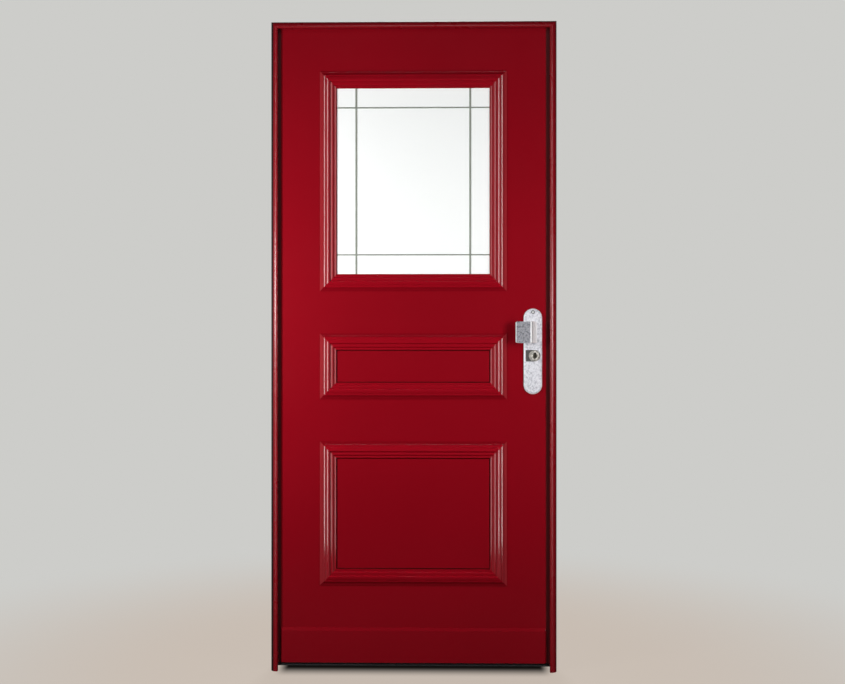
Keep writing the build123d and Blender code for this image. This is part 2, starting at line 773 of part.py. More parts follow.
# Inside lever: rose, neck and a flat bar towards the hinges
with BuildPart() as inner_lever:
    with BuildSketch(Plane.XZ.offset(-inner_plate_back)):
        with Locations((cylinder_x, lever_height)):
            Circle(lever_rose_diameter / 2)
    extrude(amount=-lever_rose_height)
    with BuildSketch(Plane.XZ.offset(-inner_plate_back)):
        with Locations((cylinder_x, lever_height)):
            Circle(lever_neck_diameter / 2)
    extrude(amount=-lever_neck_length)
    with BuildSketch(Plane.XZ.offset(-(inner_plate_back + lever_neck_length - lever_section_depth))):
        with Locations((cylinder_x - lever_length / 2 + lever_section_height / 2, lever_height)):
            SlotOverall(lever_length, lever_section_height)
    extrude(amount=-lever_section_depth)
    chamfer(inner_lever.faces().sort_by(Axis.Y)[-1].edges(), length=lever_edge_bevel)
inner_lever.part.label = "inner_lever"
export_step(inner_lever.part, "parts/inner_lever.step")

# Faceplate in the lock edge
with BuildPart() as lock_faceplate:
    with BuildSketch(lock_edge):
        with Locations((leaf_thickness / 2, lock_centre_height)):
            Rectangle(faceplate_width - 2 * faceplate_clearance, faceplate_length - 2 * faceplate_clearance)
            with GridLocations(bolt_pitch, bolt_pitch, 1, bolt_count):
                Circle(bolt_diameter / 2 + bolt_clearance, mode=Mode.SUBTRACT)
        with Locations((leaf_thickness / 2, lock_centre_height - latch_drop)):
            Rectangle(latch_width + 2 * bolt_clearance, latch_height + 2 * bolt_clearance, mode=Mode.SUBTRACT)
    extrude(amount=-faceplate_thickness)
lock_faceplate.part.label = "lock_faceplate"
export_step(lock_faceplate.part, "parts/lock_faceplate.step")

# Round bolts and the latch, withdrawn flush with the faceplate
with BuildPart() as lock_bolts:
    with BuildSketch(lock_edge):
        with Locations((leaf_thickness / 2, lock_centre_height)):
            with GridLocations(bolt_pitch, bolt_pitch, 1, bolt_count):
                Circle(bolt_diameter / 2)
        with Locations((leaf_thickness / 2, lock_centre_height - latch_drop)):
            Rectangle(latch_width, latch_height)
    extrude(amount=-bolt_length)
lock_bolts.part.label = "lock_bolts"
export_step(lock_bolts.part, "parts/lock_bolts.step")

# Fixed dog bolts on the hinge edge, which enter the jamb when the leaf closes
with BuildPart() as dog_bolts:
    with BuildSketch(Plane.YZ.offset(leaf_left)):
        with Locations([(leaf_middle_depth, height) for height in dog_bolt_heights]):
            Circle(dog_bolt_diameter / 2)
    extrude(amount=-(side_gap + frame_wall + dog_bolt_entry))
dog_bolts.part.label = "dog_bolts"
export_step(dog_bolts.part, "parts/dog_bolts.step")
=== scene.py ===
import math

import bmesh
import bpy
from mathutils import Matrix, Vector


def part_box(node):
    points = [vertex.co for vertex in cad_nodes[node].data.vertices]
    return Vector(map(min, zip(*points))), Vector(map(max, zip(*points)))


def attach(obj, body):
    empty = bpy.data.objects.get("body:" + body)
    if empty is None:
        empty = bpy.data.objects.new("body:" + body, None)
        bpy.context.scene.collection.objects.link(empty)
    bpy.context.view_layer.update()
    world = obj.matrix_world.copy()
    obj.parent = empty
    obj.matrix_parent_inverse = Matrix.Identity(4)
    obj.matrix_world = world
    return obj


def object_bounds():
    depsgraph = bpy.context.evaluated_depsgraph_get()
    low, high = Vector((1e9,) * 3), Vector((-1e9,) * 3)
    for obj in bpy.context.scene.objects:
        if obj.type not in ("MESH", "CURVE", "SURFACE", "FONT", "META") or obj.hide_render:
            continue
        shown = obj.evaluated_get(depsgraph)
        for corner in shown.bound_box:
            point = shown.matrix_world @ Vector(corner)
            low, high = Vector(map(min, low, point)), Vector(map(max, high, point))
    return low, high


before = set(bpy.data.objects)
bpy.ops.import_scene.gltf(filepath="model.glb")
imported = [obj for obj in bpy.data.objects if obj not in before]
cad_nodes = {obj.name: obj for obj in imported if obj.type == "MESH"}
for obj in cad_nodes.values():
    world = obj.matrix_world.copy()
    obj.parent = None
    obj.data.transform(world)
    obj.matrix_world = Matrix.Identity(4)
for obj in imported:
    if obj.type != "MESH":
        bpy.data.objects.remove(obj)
cad_low, cad_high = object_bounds()

door_centre = (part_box("hinge_jamb")[0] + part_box("lock_jamb")[1]) / 2
cad_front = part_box("hinge_jamb")[0].y
half_opening = (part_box("lock_jamb")[0].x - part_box("hinge_jamb")[1].x) / 2

# Colours of the paints, linear
RED = (0.29, 0.0030, 0.010)
DEEP_RED = (0.235, 0.0020, 0.007)
# A lighter copy of the red for the mouldings: painted light on their faces
MOULDING_LIT_RED = (0.34, 0.0036, 0.012)
# Darker red for the coves of the rails: painted shade
COVE_SHADE_RED = (0.22, 0.0023, 0.0075)
# Near-black red for the strips in the quirks: painted shade
QUIRK_SHADE_RED = (0.03, 0.001, 0.0012)
# Darker red for the outer sheet's margins beside the frame: painted shadow of the frame's nosing
MARGIN_SHADOW_RED = (0.09, 0.0010, 0.003)
# Near black: painted shade for the frame's rounded outer edge
EDGE_SHADE = (0.016, 0.0012, 0.0016)

# Colours of the metals, rubber and glass
PLATE_PALE = (0.9, 0.9, 0.95)
PLATE_DARK = (0.5, 0.5, 0.56)
# Dark for the lock plate's pocket and sides: painted shade
POCKET_SHADE = (0.11, 0.11, 0.105)
GUARD_PALE = (0.95, 0.92, 0.84)
GUARD_DARK = (0.55, 0.52, 0.46)
PULL_PALE = (0.46, 0.46, 0.5)
PULL_DARK = (0.1, 0.1, 0.125)
# White for the pull's painted highlights
PULL_HIGHLIGHT = (1.0, 1.0, 1.0)
SCREW_STEEL = (0.7, 0.7, 0.72)
# Pure white screw head and near-black seat round it: a painted glint in painted shade
SCREW_GLINT = (1.0, 1.0, 1.0)
SCREW_SEAT_SHADE = (0.05, 0.05, 0.052)
RUBBER = (0.012, 0.012, 0.013)
OPAL = (0.93, 0.94, 0.93)
OPAL_SHADE = (0.9, 0.91, 0.91)
OPAL_GLOW = (0.96, 1.0, 0.985)
OPAL_GLOW_STRENGTH = 0.2

# Colours of the surroundings
WALL = (0.61, 0.61, 0.59)
BEHIND_DOOR = (0.45, 0.45, 0.435)
FLOOR = (0.60, 0.525, 0.46)
STUDIO_DARK = (0.02, 0.02, 0.02)
WORLD_FILL = (0.03, 0.03, 0.03)
BLACK = (0.0, 0.0, 0.0)

# Roughness of the red paints, and what is added to it in places
LEAF_ROUGHNESS = 0.13
FRAME_ROUGHNESS = 0.27
MOULDING_ROUGHNESS = 0.075
QUIRK_SHADE_ROUGHNESS = 0.6
EDGE_SHADE_ROUGHENING = 0.5
MARGIN_ROUGHENING = 0.4
MOULDING_ROUGHENING = 0.8

# Specular levels of the red paints
PAINT_SHINE = 0.45
RAIL_SHINE = 0.15
QUIRK_SHADE_SHINE = 0.05

# Strengths of the orange peel
PEEL = 0.02
FAINT_PEEL = 0.005

# Radii that round edges in shading, in metres
EDGE_SAMPLES = 4
LEAF_EDGE = 0.0007
SCREW_EDGE = 0.0003
PLATE_EDGE = 0.0008
GUARD_EDGE = 0.0006
METAL_EDGE = 0.0004
RUBBER_EDGE = 0.0005

# Painted shade on the frame's rounded outer edge: the depths behind the frame's face over which it fades out,
# and for each part of the frame the axis, the outer edge, and how far in from it the shade is still full and
# the red is full
EDGE_SHADE_DEPTHS = (0.018, 0.024)
EDGE_SHADE_BANDS = (
    ("hinge_jamb", "X", cad_low.x, 0.0065, 0.0108),
    ("lock_jamb", "X", cad_high.x, -0.0015, -0.006),
    ("head", "Z", cad_high.z, -0.0005, -0.004),
)

# Mouldings: distances in from their outer edge, and how softly the cove and the glossy lines end
MOULDING_WIDTH = 0.057
COVE_WIDTH = 0.012
GLOSSY_LINES = ((0.0148, 0.0173), (0.0256, 0.0284), (0.0368, 0.0414), (0.0498, 0.0535))
LINE_SOFTNESS = 0.0007

# Dark strip of painted shade in the quirk: distances in from the moulding's outer edge, and heights over the
# field
QUIRK_EDGE = MOULDING_WIDTH - 0.0025
QUIRK_HEIGHT = 0.001
QUIRK_SHADE_FOOT = 0.0001
QUIRK_SHADE_SECTION = (
    (QUIRK_EDGE, QUIRK_HEIGHT + 0.0001),
    (QUIRK_EDGE + 0.0008, QUIRK_HEIGHT + 0.0003),
    (MOULDING_WIDTH - 0.0006, QUIRK_HEIGHT + 0.0003),
    (MOULDING_WIDTH + 0.0004, QUIRK_HEIGHT - 0.0001),
    (MOULDING_WIDTH + 0.0010, QUIRK_SHADE_FOOT),
    (QUIRK_EDGE, QUIRK_SHADE_FOOT),
)

# Half the width of the change from red to the painted shadow on the outer sheet's margin
MARGIN_SOFTNESS = 0.001

# Lock plate: the depths behind its face between which the painted shade of its pocket sets in
POCKET_DEPTHS = (0.0040, 0.0060)

# Pull: distances from its free edge, and how strong the painted highlight is there
PULL_HIGHLIGHT_STOPS = (
    (0.0, 1.0),
    (0.0022, 0.8),
    (0.0034, 0.0),
    (0.0480, 0.0),
    (0.0505, 1.0),
    (0.0530, 1.0),
    (0.0545, 0.25),
    (0.0570, 1.0),
)

# Nodes in the leaf's plain red
PLAIN_RED_NODES = (
    "hinge_stile",
    "lock_stile",
    "bottom_rail",
    "top_rail",
    "inner_panel",
    "kick_plate",
    "window_bead_sides",
    "window_bead_rails",
)

# Nodes in bolt steel
BOLT_STEEL_NODES = (
    "keep_plate",
    "frame_hinge_halves",
    "leaf_hinge_halves",
    "lock_faceplate",
    "lock_bolts",
    "dog_bolts",
)

# Share of a brushed metal's colour that is left in its darker lines
LINE_SHADE = 0.6

# Scale by axis of a noise without a direction
EVEN = (1, 1, 1)

# Metals with fine lines: name, colour, roughness, metallic, scale of the lines by axis, nodes
BRUSHED_METALS = (
    ("inside_furniture", (0.58, 0.58, 0.6), 0.3, 0.7, (1, 1, 0.1), ("inner_lock_plate", "inner_lever")),
    ("cylinder_nickel", (0.3, 0.28, 0.24), 0.35, 1.0, EVEN, ("key_cylinder",)),
    ("bolt_steel", (0.52, 0.52, 0.53), 0.32, 0.8, (1, 1, 0.15), BOLT_STEEL_NODES),
    # Near-black threshold: painted shade under the leaf
    ("threshold_steel", (0.03, 0.03, 0.032), 0.5, 0.5, (0.08, 1, 1), ("threshold",)),
    ("bar_metal", (0.36, 0.39, 0.33), 0.45, 0.2, (1, 1, 0.3), ("glazing_bars",)),
    ("spacer_metal", (0.5, 0.5, 0.5), 0.4, 1.0, EVEN, ("glass_spacer",)),
)

# Screw heads: rings as a share of the radius, a share of the rise, and the depth of the socket's lobes
SCREW_SEGMENTS = 24
SCREW_LOBES = 6
SCREW_RINGS = (
    (1.0, 0.0, 0.0),
    (1.0, 0.35, 0.0),
    (0.86, 0.85, 0.0),
    (0.6, 1.0, 0.0),
    (0.46, 1.0, 0.14),
    (0.42, 0.25, 0.14),
)

# Radius and rise of each kind of screw
PLATE_SCREW_SIZE = (0.0036, 0.0014)
PLATE_SEAT_SIZE = (0.0058, 0.0002)
INNER_PLATE_SCREW_SIZE = (0.0038, 0.0011)
EDGE_SCREW_SIZE = (0.0042, 0.0005)
HINGE_SCREW_SIZE = (0.0042, 0.0008)
BEAD_SCREW_SIZE = (0.0032, 0.0006)

# Distances of the screws from the ends and edges of what they hold
PLATE_SCREW_END = 0.0115
INNER_PLATE_SCREW_END = 0.013
EDGE_SCREW_END = 0.014
HINGE_SCREW_END = 0.011
HINGE_SCREW_EDGE = 0.012
BEAD_SCREW_EDGE = 0.008
BEAD_SIDE_END = 0.07
BEAD_RAIL_END = 0.09

# Screws on each side and on each rail of the beads round the window
BEAD_SIDE_SCREWS = 4
BEAD_RAIL_SCREWS = 3

# Directions in which screws stand up
OUTSIDE = (0, -1, 0)
INSIDE = (0, 1, 0)
TO_HINGES = (-1, 0, 0)

# Hinge wings on the leaf's inside face, and the bevel of the leaf's lock edge
HINGE_COUNT = 3
HINGE_WING_SCREWS = 3
HINGE_WING_LENGTH = 0.0597
HINGE_WING_THICKNESS = 0.004
LOCK_EDGE_SLOPE = 3.0 / 55.0

# Floor: the part of its colour that the lamps light, and the camera-only lift that makes up the rest
FLOOR_SHARE = 0.09
FLOOR_LIFT = 0.88
FLOOR_ROUGHNESS = 0.7
FLOOR_SHINE = 0.1

# Floor: its size, and the distances from the door over which it fades into the background
FLOOR_RADIUS = 40
FLOOR_SEGMENTS = 96
FLOOR_FADE = (0.7, 2.4)

# Dark patch of floor at the threshold: where it has no shade and where full, sideways, in front, behind
SHADE_SIDES = (half_opening + 0.012, half_opening - 0.03)
SHADE_FRONT = (-0.10, 0.02)
SHADE_BACK = (0.13, 0.03)
SHADE_DEPTH = 0.99

# World: how far back a ray points where the mirrored studio begins to turn pale, and where it is pale
BACKWARDS = (0.25, 0.75)

# Camera: 50 mm on a 36 mm sensor, and the point of the frame's front plane in the middle of the picture
CAMERA_SENSOR = 36.0
CAMERA_LENS = 50.0
CAMERA_CLIP = (0.05, 100)
CAMERA_DISTANCE = 3.87
CAMERA_YAW = math.radians(1.05)
CAMERA_AIM_X = 0.5022
CAMERA_HEIGHT = 1.089

# Lamps: name, place, the point it faces, width, height and power in watts
LAMPS = (
    ("left_strip", (-1.19, -1.95, 1.2), (0.3, 0, 1.15), 0.13, 2.6, 12),
    ("left_edge_strip", (-0.915, -1.95, 1.2), (0.3, 0, 1.15), 0.12, 2.6, 3),
    ("right_strip", (1.99, -1.95, 1.2), (0.6, 0, 1.1), 0.13, 2.6, 12.5),
    ("right_edge_strip", (1.725, -1.95, 1.2), (0.6, 0, 1.1), 0.12, 2.6, 3),
    ("left_key", (-0.6, -0.92, 1.28), (0.4, 0, 1.25), 0.15, 0.4, 12),
    ("right_key", (1.53, -0.92, 1.2), (0.6, 0, 1.2), 0.15, 0.4, 5.1),
    ("head_strip", (0.5, -2.3, 3.35), (0.5, 0, 1.9), 1.3, 0.08, 4.5),
    ("back_lamp", (0.47, 3.0, 3.7), (0.47, 0, 0.9), 0.9, 0.9, 90),
)


class Nodes:
    """Short calls for the nodes of one tree."""

    def __init__(self, tree, coordinates="Object"):
        self.tree = tree
        self.place = self.add("ShaderNodeTexCoord").outputs[coordinates]

    def add(self, kind):
        return self.tree.nodes.new(kind)

    def put(self, value, socket):
        """Links an output to a socket, or sets the socket to a number or a colour."""
        if isinstance(value, bpy.types.NodeSocket):
            self.tree.links.new(value, socket)
        elif isinstance(value, tuple):
            socket.default_value = (*value, 1)
        else:
            socket.default_value = value

    def compute(self, operation, *values):
        """The result of a Math node."""
        node = self.add("ShaderNodeMath")
        node.operation = operation
        for value, socket in zip(values, node.inputs):
            self.put(value, socket)
        return node.outputs["Value"]

    def mix(self, factor, first, second):
        """Mixes two colours by a value."""
        node = self.add("ShaderNodeMix")
        node.data_type = "RGBA"
        self.put(factor, node.inputs["Factor"])
        self.put(first, node.inputs["A"])
        self.put(second, node.inputs["B"])
        return node.outputs["Result"]

    def spread(self, value, low, high, from_low=0.3, from_high=0.7, shape="LINEAR"):
        """Maps a value from one range onto another, held at the ends."""
        node = self.add("ShaderNodeMapRange")
        node.interpolation_type = shape
        self.put(value, node.inputs["Value"])
        self.put(from_low, node.inputs["From Min"])
        self.put(from_high, node.inputs["From Max"])
        self.put(low, node.inputs["To Min"])
        self.put(high, node.inputs["To Max"])
        return node.outputs["Result"]

    def along(self, axis):
        """Place along one axis."""
        split = self.add("ShaderNodeSeparateXYZ")
        self.put(self.place, split.inputs["Vector"])
        return split.outputs[axis]

    def off_centre(self, axis, centre):
        """Distance from a centre along one axis."""
        return self.compute("ABSOLUTE", self.compute("SUBTRACT", self.along(axis), centre))

    def ray(self, kind):
        """1 for rays of one kind and 0 for all others."""
        return self.add("ShaderNodeLightPath").outputs[kind]


class Paint(Nodes):
    """A node material round one Principled shader, in the object's own metres."""

    def __init__(self, name, color, roughness, metallic=0.0):
        self.material = bpy.data.materials.new(name)
        self.material.use_nodes = True
        super().__init__(self.material.node_tree)
        self.shader = self.tree.nodes["Principled BSDF"]
        self.color = color
        self.set("Base Color", color)
        self.set("Roughness", roughness)
        self.set("Metallic", metallic)

    def set(self, name, value):
        """Gives one input of the shader a number, a colour or an output."""
        self.put(value, self.shader.inputs[name])

    def noise(self, scale, detail, stretch=EVEN, roughness=0.5):
        """Noise from about 0.3 to 0.7."""
        mapping = self.add("ShaderNodeMapping")
        mapping.inputs["Scale"].default_value = stretch
        self.put(self.place, mapping.inputs["Vector"])
        node = self.add("ShaderNodeTexNoise")
        self.put(mapping.outputs["Vector"], node.inputs["Vector"])
        self.put(scale, node.inputs["Scale"])
        self.put(detail, node.inputs["Detail"])
        self.put(roughness, node.inputs["Roughness"])
        return node.outputs["Fac"]

    def steps(self, value, stops, span):
        """Turns a value from 0 to 1, which stands for a span, into levels by (place, level) stops."""
        node = self.add("ShaderNodeValToRGB")
        self.put(value, node.inputs["Fac"])
        ramp = node.color_ramp
        while len(ramp.elements) < len(stops):
            ramp.elements.new(1.0)
        for element, (place, level) in zip(ramp.elements, stops):
            element.position = place / span
            element.color = (level, level, level, 1)
        return node.outputs["Color"]

    def vary_color(self, value, other):
        """Mixes the colour so far with another one by a value."""
        base = self.shader.inputs["Base Color"]
        so_far = base.links[0].from_socket if base.is_linked else self.color
        self.set("Base Color", self.mix(value, so_far, other))

    def roughen(self, value, amount):
        """Adds to a varied roughness where a value is high."""
        so_far = self.shader.inputs["Roughness"].links[0].from_socket
        self.set("Roughness", self.compute("MULTIPLY_ADD", value, amount, so_far))

    def relief(self, value, strength, distance, edge=None):
        """Bump from a value, over edges rounded by a small radius."""
        bump = self.add("ShaderNodeBump")
        self.put(value, bump.inputs["Height"])
        self.put(strength, bump.inputs["Strength"])
        self.put(distance, bump.inputs["Distance"])
        if edge:
            bevel = self.add("ShaderNodeBevel")
            bevel.samples = EDGE_SAMPLES
            self.put(edge, bevel.inputs["Radius"])
            self.put(bevel.outputs["Normal"], bump.inputs["Normal"])
        self.set("Normal", bump.outputs["Normal"])


def red_paint(name, edge=None, roughness=LEAF_ROUGHNESS, color=RED, peel=PEEL):
    """Semi-gloss stoved paint with faint orange peel and a slow drift of shade."""
    paint = Paint(name, color, roughness)
    drift = paint.noise(scale=2.2, detail=2)
    paint.vary_color(paint.spread(drift, low=0.0, high=0.35), DEEP_RED)
    haze = paint.noise(scale=9, detail=3)
    paint.set("Roughness", paint.spread(haze, low=roughness - 0.02, high=roughness + 0.03))
    paint.relief(paint.noise(scale=520, detail=2), strength=peel, distance=0.0003, edge=edge)
    paint.set("Specular IOR Level", PAINT_SHINE)
    return paint


def frame_paint(name, axis, shade_full, full):
    """Red paint that darkens along an axis into near-black painted shade on the frame's rounded outer edge.
    """
    paint = red_paint(name, roughness=FRAME_ROUGHNESS, peel=FAINT_PEEL)
    begin, end = EDGE_SHADE_DEPTHS
    round_edge = paint.spread(paint.along("Y"), 1.0, 0.0, cad_front + begin, cad_front + end)
    outside = paint.spread(paint.along(axis), 1.0, 0.0, shade_full, full)
    # Mask of the painted shade on the rounded outer edge
    edge_shade = paint.compute("MULTIPLY", outside, round_edge)
    paint.vary_color(edge_shade, EDGE_SHADE)
    paint.roughen(edge_shade, EDGE_SHADE_ROUGHENING)
    return paint.material


def moulding_paint(node, axis):
    """Moulding red with painted light: painted shade in a rail's cove and little shine, glossy crests on
    sides.
    """
    low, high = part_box(node)
    middle = (low + high) / 2
    index = "XYZ".index(axis)
    half = high[index] - middle[index]
    # Mouldings take the lighter red, which is painted light
    paint = red_paint(f"{node}_red", None, MOULDING_ROUGHNESS, MOULDING_LIT_RED, FAINT_PEEL)
    off_centre = paint.off_centre(axis, middle[index])
    inwards = paint.spread(off_centre, 0.0, 1.0, half, half - MOULDING_WIDTH)
    stops = [(0.0, 1.0)]
    if axis == "Z":
        stops += [(COVE_WIDTH - LINE_SOFTNESS, 1.0), (COVE_WIDTH + LINE_SOFTNESS, 0.0)]
        # Painted shade in the rail's cove
        paint.vary_color(paint.steps(inwards, stops, MOULDING_WIDTH), COVE_SHADE_RED)
        paint.set("Specular IOR Level", RAIL_SHINE)
        return paint.material
    for first, last in GLOSSY_LINES:
        stops += [(first - LINE_SOFTNESS, 1.0), (first, 0.0), (last, 0.0), (last + LINE_SOFTNESS, 1.0)]
    paint.roughen(paint.steps(inwards, stops, MOULDING_WIDTH), MOULDING_ROUGHENING)
    return paint.material


def panel_paint():
    """The outer sheet's red, with a painted shadow of the frame's nosing: a darker, duller margin beyond the
    kick plate's ends.
    """
    low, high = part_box("kick_plate")
    half = (high.x - low.x) / 2
    paint = red_paint("outer_panel_red", LEAF_EDGE)
    off_centre = paint.off_centre("X", (low.x + high.x) / 2)
    # Painted shadow on the margins beyond the kick plate's ends
    shadowed_margin = paint.spread(off_centre, 0.0, 1.0, half - MARGIN_SOFTNESS, half + MARGIN_SOFTNESS)
    paint.vary_color(shadowed_margin, MARGIN_SHADOW_RED)
    paint.roughen(shadowed_margin, MARGIN_ROUGHENING)
    return paint.material


def mottled_metal(name, color, dark, edge, metallic, roughness):
    """Zinc-grey metal with crystalline mottling and fine pits."""
    metal = Paint(name, color, roughness, metallic)
    crystals = metal.noise(scale=140, detail=6, roughness=0.68)
    metal.vary_color(metal.spread(crystals, 0.0, 1.0, from_low=0.45, from_high=0.66), dark)
    pits = metal.noise(scale=420, detail=5)
    metal.vary_color(metal.spread(pits, 0.0, 0.6, from_low=0.52, from_high=0.68), dark)
    haze = metal.noise(scale=130, detail=4)
    metal.set("Roughness", metal.spread(haze, low=roughness - 0.08, high=roughness + 0.14))
    metal.relief(pits, strength=0.35, distance=0.0005, edge=edge)
    return metal


def plate_metal():
    """The lock plate: pale on its face, with painted shade on its sides and on the floor of its pocket."""
    metal = mottled_metal("plate_metal", PLATE_PALE, PLATE_DARK, PLATE_EDGE, metallic=0.15, roughness=0.42)
    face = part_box("lock_plate")[0].y
    begin, end = POCKET_DEPTHS
    # Painted shade deeper than the plate's face
    metal.vary_color(metal.spread(metal.along("Y"), 0.0, 1.0, face + begin, face + end), POCKET_SHADE)
    return metal.material


def guard_metal():
    """The cone round the key cylinder: bright and smoother than the plate."""
    metal = mottled_metal("guard_metal", GUARD_PALE, GUARD_DARK, GUARD_EDGE, metallic=0.3, roughness=0.24)
    return metal.material


def pull_metal():
    """The pull: dark mottled grip, with painted highlights along its free edge, its bend and its welded web.
    """
    metal = mottled_metal("pull_metal", PULL_PALE, PULL_DARK, PLATE_EDGE, metallic=0.3, roughness=0.4)
    low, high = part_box("pull_handle")
    across = metal.spread(metal.along("X"), 0.0, 1.0, low.x, high.x)
    # Painted highlights across the pull
    metal.vary_color(metal.steps(across, PULL_HIGHLIGHT_STOPS, high.x - low.x), PULL_HIGHLIGHT)
    return metal.material


def brushed_metal(name, color, roughness, metallic=1.0, stretch=EVEN):
    """Machined or rolled metal with fine lines along one direction, or with an even grain."""
    metal = Paint(name, color, roughness, metallic)
    lines = metal.noise(scale=60, detail=4, stretch=stretch)
    metal.vary_color(metal.spread(lines, low=0.0, high=0.5), tuple(LINE_SHADE * channel for channel in color))
    metal.set("Roughness", metal.spread(lines, low=roughness - 0.06, high=roughness + 0.1))
    metal.relief(lines, strength=0.12, distance=0.0002, edge=METAL_EDGE)
    return metal.material


def matt_black(name):
    """Matt black rubber."""
    rubber = Paint(name, RUBBER, roughness=0.6)
    rubber.set("Roughness", rubber.spread(rubber.noise(scale=60, detail=3), low=0.5, high=0.72))
    rubber.relief(rubber.noise(scale=700, detail=2), strength=0.2, distance=0.0002, edge=RUBBER_EDGE)
    return rubber.material


def opal_glass(name):
    """White opal glass: milky, with a painted glow of its own that stands in for light through it, and a
    smooth face.
    """
    glass = Paint(name, OPAL, roughness=0.08)
    glass.vary_color(glass.spread(glass.noise(scale=1.6, detail=2), low=0.0, high=0.3), OPAL_SHADE)
    glass.relief(glass.noise(scale=14, detail=2), strength=0.03, distance=0.0006)
    # Painted glow: the glass shines by itself, as if lit through
    glass.set("Emission Color", OPAL_GLOW)
    glass.set("Emission Strength", OPAL_GLOW_STRENGTH)
    return glass.material


def assign(material, *names):
    """Gives CAD nodes their material."""
    for name in names:
        data = cad_nodes[name].data
        data.materials.clear()
        data.materials.append(material)


def finish_nodes():
    """Materials of the CAD nodes."""
    for node, axis, outside, shade_full, full in EDGE_SHADE_BANDS:
        assign(frame_paint(f"{node}_red", axis, outside + shade_full, outside + full), node)
    for panel in ("window", "middle", "lower"):
        for part, axis in (("sides", "X"), ("rails", "Z")):
            node = f"{panel}_moulding_{part}"
            assign(moulding_paint(node, axis), node)
    assign(red_paint("leaf_red", LEAF_EDGE).material, *PLAIN_RED_NODES)
    assign(panel_paint(), "outer_panel")
    assign(plate_metal(), "lock_plate")
    assign(guard_metal(), "cylinder_guard")
    assign(pull_metal(), "pull_handle")
    for name, color, roughness, metallic, stretch, parts in BRUSHED_METALS:
        assign(brushed_metal(name, color, roughness, metallic, stretch), *parts)
    assign(matt_black("seal_rubber"), "side_seals", "head_seal")
    assign(opal_glass("opal_outer"), "outer_glass")
    assign(opal_glass("opal_inner"), "inner_glass")


def new_piece(name, work, material, body):
    """Turns a bmesh into a piece that rides on a body."""
    bmesh.ops.recalc_face_normals(work, faces=work.faces)
    mesh = bpy.data.meshes.new(name)
    work.to_mesh(mesh)
    work.free()
    mesh.materials.append(material)
    piece = bpy.data.objects.new(name, mesh)
    bpy.context.collection.objects.link(piece)
    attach(piece, body)


def bridge(work, first, second):
    """Joins two closed loops of vertices with faces."""
    for step in range(len(first)):
        after = (step + 1) % len(first)
        work.faces.new((first[step], first[after], second[after], second[step]))


def add_screw(work, place, normal, radius, rise):
    """Adds a raised countersunk screw with a six-lobed socket, standing on a face."""
    stand = Matrix.Translation(place) @ Vector(normal).to_track_quat("Z", "Y").to_matrix().to_4x4()
    loops = []
    for share, height, lobe in SCREW_RINGS:
        loop = []
        for step in range(SCREW_SEGMENTS):
            turn = 2 * math.pi * step / SCREW_SEGMENTS
            reach = radius * share * (1 + lobe * math.cos(SCREW_LOBES * turn))
            spot = Vector((reach * math.cos(turn), reach * math.sin(turn), rise * height))
            loop.append(work.verts.new(stand @ spot))
        loops.append(loop)
    for outer, inner in zip(loops, loops[1:]):
        bridge(work, outer, inner)
    work.faces.new(loops[-1])
    work.faces.new(reversed(loops[0]))


def screws(name, places, normal, size, material, body="leaf"):
    """One piece of like screws."""
    work = bmesh.new()
    for place in places:
        add_screw(work, place, normal, *size)
    new_piece(name, work, material, body)


def spaced(low, high, count):
    """Places at even spacing from low to high."""
    return [low + (high - low) * step / (count - 1) for step in range(count)]


def plate_screws(steel):
    """A white screw in a near-black seat high on the outside lock plate, a painted glint in painted shade,
    and two on the inside one.
    """
    low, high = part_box("lock_plate")
    places = [((low.x + high.x) / 2, low.y, high.z - PLATE_SCREW_END)]
    # Painted glint on the screw and painted shade in its seat
    bright = brushed_metal("glint_screw", SCREW_GLINT, roughness=0.3, metallic=0.1)
    seat = brushed_metal("screw_seat_shade", SCREW_SEAT_SHADE, roughness=0.5, metallic=0.3)
    screws("lock_plate_screw", places, OUTSIDE, PLATE_SCREW_SIZE, bright)
    screws("lock_plate_screw_seat", places, OUTSIDE, PLATE_SEAT_SIZE, seat)
    low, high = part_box("inner_lock_plate")
    heights = (low.z + INNER_PLATE_SCREW_END, high.z - INNER_PLATE_SCREW_END)
    places = [((low.x + high.x) / 2, high.y, height) for height in heights]
    screws("inner_plate_screws", places, INSIDE, INNER_PLATE_SCREW_SIZE, steel)


def edge_screws(steel):
    """Screws at the ends of the faceplate in the leaf's edge and of the keep plate in the jamb."""
    low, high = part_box("lock_faceplate")
    middle = (low.y + high.y) / 2
    face = high.x - LOCK_EDGE_SLOPE * (high.y - middle)
    normal = (1, -LOCK_EDGE_SLOPE, 0)
    places = [(face, middle, height) for height in (low.z + EDGE_SCREW_END, high.z - EDGE_SCREW_END)]
    screws("faceplate_screws", places, normal, EDGE_SCREW_SIZE, steel)
    low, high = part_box("keep_plate")
    middle = (low.y + high.y) / 2
    places = [(low.x, middle, height) for height in (low.z + EDGE_SCREW_END, high.z - EDGE_SCREW_END)]
    screws("keep_plate_screws", places, TO_HINGES, EDGE_SCREW_SIZE, steel, "frame")


def hinge_screws(steel):
    """Three screws in the wing of each hinge, on the leaf's inside face."""
    low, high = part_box("leaf_hinge_halves")
    across = high.x - HINGE_SCREW_EDGE
    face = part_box("inner_panel")[1].y + HINGE_WING_THICKNESS
    places = []
    for foot in spaced(low.z, high.z - HINGE_WING_LENGTH, HINGE_COUNT):
        wing_top = foot + HINGE_WING_LENGTH
        for height in spaced(foot + HINGE_SCREW_END, wing_top - HINGE_SCREW_END, HINGE_WING_SCREWS):
            places.append((across, face, height))
    screws("hinge_screws", places, INSIDE, HINGE_SCREW_SIZE, steel)


